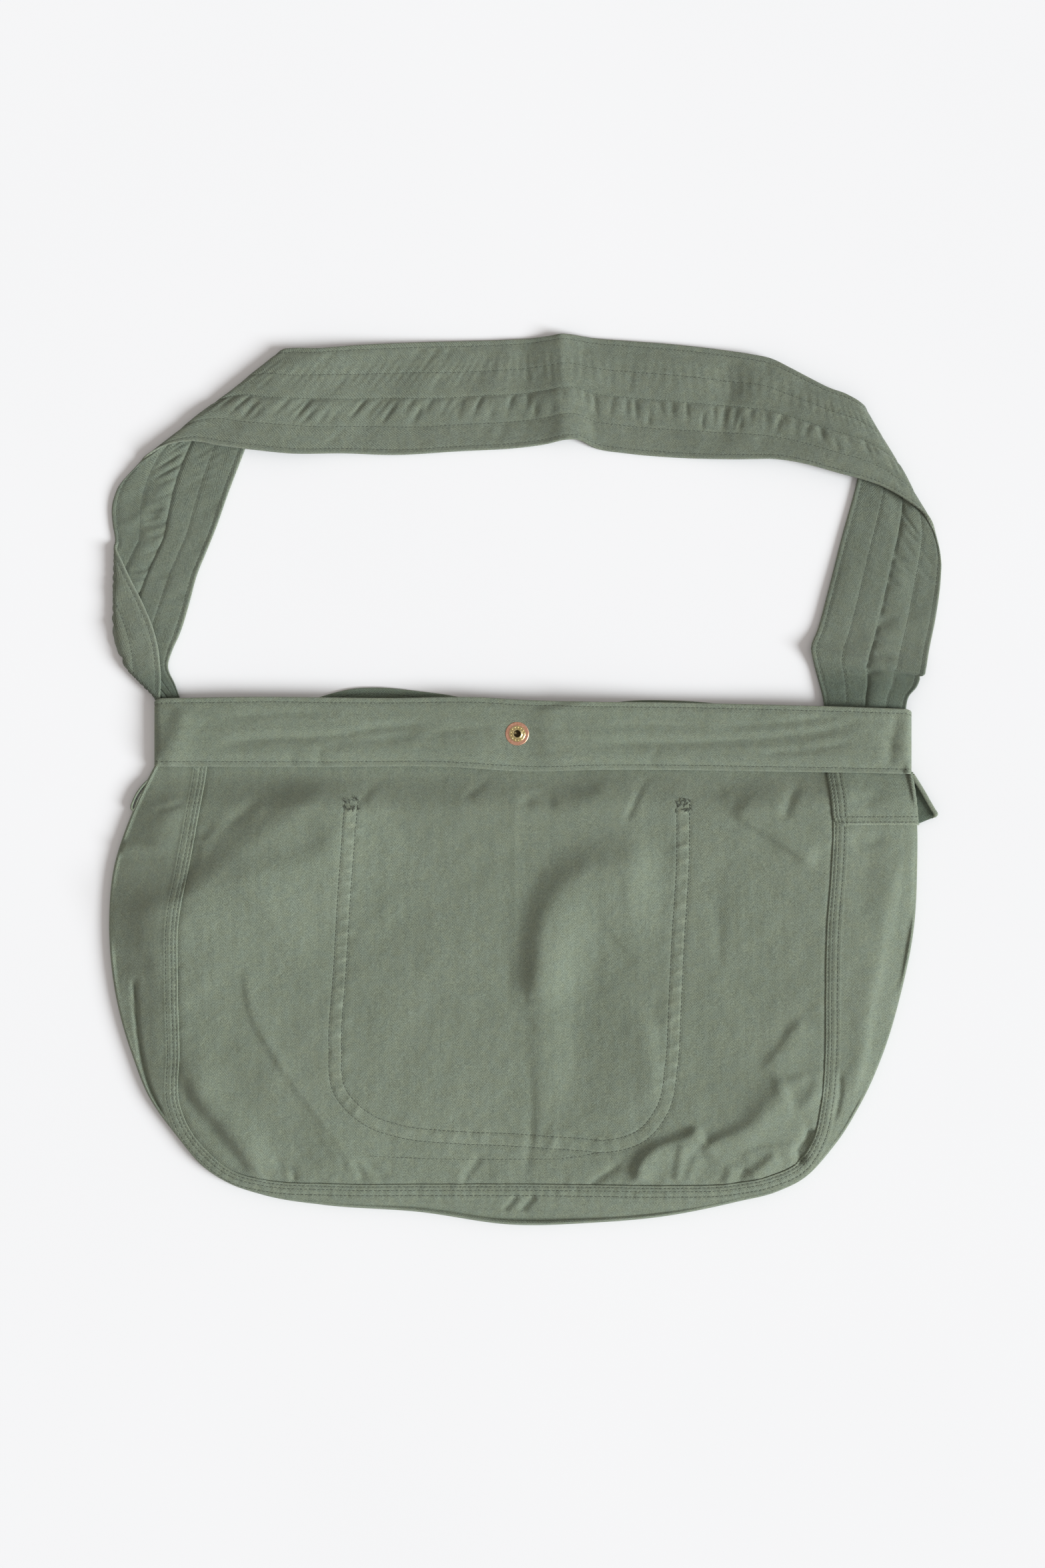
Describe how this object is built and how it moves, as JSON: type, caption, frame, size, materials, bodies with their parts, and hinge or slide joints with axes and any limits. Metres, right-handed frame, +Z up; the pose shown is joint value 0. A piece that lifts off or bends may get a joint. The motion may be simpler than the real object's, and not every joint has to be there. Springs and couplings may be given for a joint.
{
  "type": "messenger bag",
  "caption": "Soft cloth shoulder bag lying flat, with a wide stitched strap, a banded mouth closed by a ring snap, a U-shaped gusset and an inner patch pocket.",
  "frame": {"origin": "on the surface that the bag lies on, under the middle of its back panel", "axes": "+Z up out of the surface, +Y from the bottom of the bag to its mouth and on to the strap, +X to the right of a viewer who looks down on the front"},
  "size_m": [0.5365, 0.573, 0.0152],
  "materials": {
    "panel_cloth": "herringbone cotton twill, washed, matt, olive sage green",
    "gusset_cloth": "herringbone cotton twill, washed, matt, olive sage green",
    "band_cloth": "herringbone cotton twill, washed, matt, columns along the band",
    "strap_cloth": "herringbone cotton twill, washed, matt, columns along the strap",
    "lining_cloth": "plain inner layer of the same cotton",
    "thread": "dark green cotton sewing thread",
    "copper": "copper coloured, lightly rubbed",
    "brass": "antique brass, satin"
  },
  "bodies": {
    "back": {"back_panel": "panel_cloth", "gusset_back": "gusset_cloth", "back_band_outer": "band_cloth", "back_band_facing": "band_cloth", "strap_end_left": "strap_cloth", "strap_end_right": "strap_cloth", "snap_stud": "brass", "snap_back_washer": "copper", "snap_back_eyelet": "brass", "side_tab_right": "gusset_cloth", "side_tab_left": "gusset_cloth"},
    "front": {"front_panel": "panel_cloth", "gusset_front": "gusset_cloth", "front_band_outer": "band_cloth", "front_band_facing": "band_cloth", "inner_pocket": "panel_cloth", "bartacks": "thread", "side_patch": "gusset_cloth", "snap_front_washer": "copper", "snap_front_eyelet": "brass", "snap_socket": "brass", "snap_spring": "brass"},
    "strap": {"strap_outer": "strap_cloth", "strap_interlining": "lining_cloth", "strap_lining": "strap_cloth"}
  },
  "joints": [
    {"name": "mouth_open", "type": "hinge", "parent": "back", "child": "front", "pos_m": [0, -0.17, 0.00235], "axis": [1, 0, 0], "range_deg": [0, 12]},
    {"name": "strap_swing", "type": "hinge", "parent": "back", "child": "strap", "pos_m": [0, 0.173, 0.0028], "axis": [1, 0, 0], "range_deg": [0, 80]}
  ]
}
